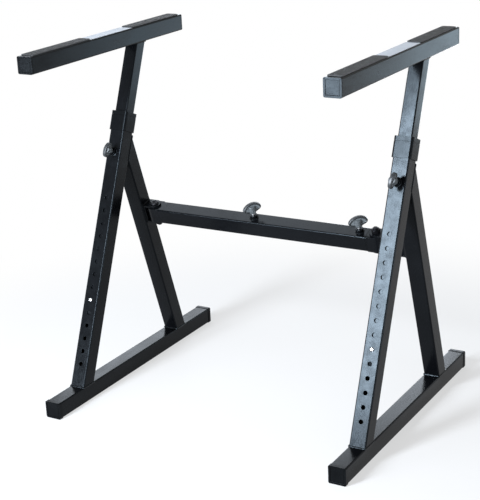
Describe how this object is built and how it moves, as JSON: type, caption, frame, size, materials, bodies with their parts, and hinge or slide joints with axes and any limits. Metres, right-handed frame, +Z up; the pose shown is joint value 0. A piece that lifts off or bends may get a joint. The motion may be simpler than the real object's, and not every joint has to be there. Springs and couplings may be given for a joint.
{
  "type": "folding keyboard stand",
  "caption": "Folding stand with welded side frames on a telescopic crossbar and height-adjustable arms that carry a keyboard.",
  "frame": {"origin": "on the floor, in the middle of the stand at its narrowest width", "axes": "+X to the right along the crossbar, +Y from the player to the rear, +Z up"},
  "size_m": [0.758, 0.652, 0.8254],
  "materials": {
    "powder_coat": "semi-gloss black powder coat",
    "cap_plastic": "fine-textured black moulding",
    "knob_plastic": "fine-textured black moulding, worn edges",
    "pad_rubber": "ribbed black rubber",
    "zinc_steel": "bright zinc plate",
    "black_zinc": "black zinc plate",
    "spring_steel": "dull spring steel"
  },
  "bodies": {
    "crossbar": {"crossbar_outer_tube": "powder_coat", "crossbar_bush": "cap_plastic", "crossbar_end_block_left": "powder_coat", "crossbar_clamp_middle_weld_nut": "powder_coat", "crossbar_clamp_end_weld_nut": "powder_coat"},
    "crossbar_slide": {"crossbar_inner_tube": "powder_coat", "crossbar_inner_glide": "cap_plastic", "crossbar_end_block_right": "powder_coat"},
    "left_frame": {"left_foot_tube": "powder_coat", "left_foot_cap_front": "cap_plastic", "left_foot_cap_rear": "cap_plastic", "left_front_leg": "powder_coat", "left_rear_leg": "powder_coat", "left_leg_collar": "cap_plastic", "left_clamp_weld_nut": "powder_coat", "left_hinge_bracket": "powder_coat", "left_hinge_bolt": "black_zinc", "left_hinge_nut": "black_zinc"},
    "right_frame": {"right_foot_tube": "powder_coat", "right_foot_cap_front": "cap_plastic", "right_foot_cap_rear": "cap_plastic", "right_front_leg": "powder_coat", "right_rear_leg": "powder_coat", "right_leg_collar": "cap_plastic", "right_clamp_weld_nut": "powder_coat", "right_hinge_bracket": "powder_coat", "right_hinge_bolt": "black_zinc", "right_hinge_nut": "black_zinc"},
    "left_support": {"left_post": "powder_coat", "left_post_glide": "cap_plastic", "left_button_spring": "spring_steel", "left_arm_tube": "powder_coat", "left_arm_cap_front": "cap_plastic", "left_arm_cap_rear": "cap_plastic", "left_arm_pad_front": "pad_rubber", "left_arm_pad_rear": "pad_rubber"},
    "right_support": {"right_post": "powder_coat", "right_post_glide": "cap_plastic", "right_button_spring": "spring_steel", "right_arm_tube": "powder_coat", "right_arm_cap_front": "cap_plastic", "right_arm_cap_rear": "cap_plastic", "right_arm_pad_front": "pad_rubber", "right_arm_pad_rear": "pad_rubber"},
    "left_button": {"left_snap_button": "zinc_steel"},
    "right_button": {"right_snap_button": "zinc_steel"},
    "left_clamp_knob": {"left_clamp_screw": "zinc_steel", "left_clamp_wing": "knob_plastic"},
    "right_clamp_knob": {"right_clamp_screw": "zinc_steel", "right_clamp_wing": "knob_plastic"},
    "middle_clamp_knob": {"crossbar_clamp_middle_screw": "zinc_steel", "crossbar_clamp_middle_wing": "knob_plastic"},
    "end_clamp_knob": {"crossbar_clamp_end_screw": "zinc_steel", "crossbar_clamp_end_wing": "knob_plastic"}
  },
  "joints": [
    {"name": "width", "type": "slide", "parent": "crossbar", "child": "crossbar_slide", "axis": [1, 0, 0], "range_m": [0, 0.21]},
    {"name": "left_fold", "type": "hinge", "parent": "crossbar", "child": "left_frame", "pos_m": [-0.313, 0.07388, 0.381], "axis": [0, -0.309, 0.9511], "range_deg": [0, 90]},
    {"name": "right_fold", "type": "hinge", "parent": "crossbar_slide", "child": "right_frame", "pos_m": [0.267, 0.07388, 0.381], "axis": [0, 0.309, -0.9511], "range_deg": [0, 90]},
    {"name": "left_height", "type": "slide", "parent": "left_frame", "child": "left_support", "axis": [0, 0.3827, 0.9239], "range_m": [-0.12, 0.24]},
    {"name": "right_height", "type": "slide", "parent": "right_frame", "child": "right_support", "axis": [0, 0.3827, 0.9239], "range_m": [-0.12, 0.24]},
    {"name": "left_button_press", "type": "slide", "parent": "left_support", "child": "left_button", "axis": [0, 0.9239, -0.3827], "range_m": [0, 0.005], "stiffness_N_per_m": 800, "springref_m": -0.006, "deforming": ["left_button_spring"]},
    {"name": "right_button_press", "type": "slide", "parent": "right_support", "child": "right_button", "axis": [0, 0.9239, -0.3827], "range_m": [0, 0.005], "stiffness_N_per_m": 800, "springref_m": -0.006, "deforming": ["right_button_spring"]},
    {"name": "left_clamp_turn", "type": "hinge", "parent": "left_frame", "child": "left_clamp_knob", "pos_m": [-0.357, -0.00382, 0.54159], "axis": [0, -0.9239, 0.3827], "continuous": true},
    {"name": "right_clamp_turn", "type": "hinge", "parent": "right_frame", "child": "right_clamp_knob", "pos_m": [0.357, -0.00382, 0.54159], "axis": [0, -0.9239, 0.3827], "continuous": true},
    {"name": "middle_clamp_turn", "type": "hinge", "parent": "crossbar", "child": "middle_clamp_knob", "pos_m": [-0.0396, 0.07388, 0.381], "axis": [0, -0.309, 0.9511], "continuous": true},
    {"name": "end_clamp_turn", "type": "hinge", "parent": "crossbar", "child": "end_clamp_knob", "pos_m": [0.2274, 0.07388, 0.381], "axis": [0, -0.309, 0.9511], "continuous": true}
  ]
}
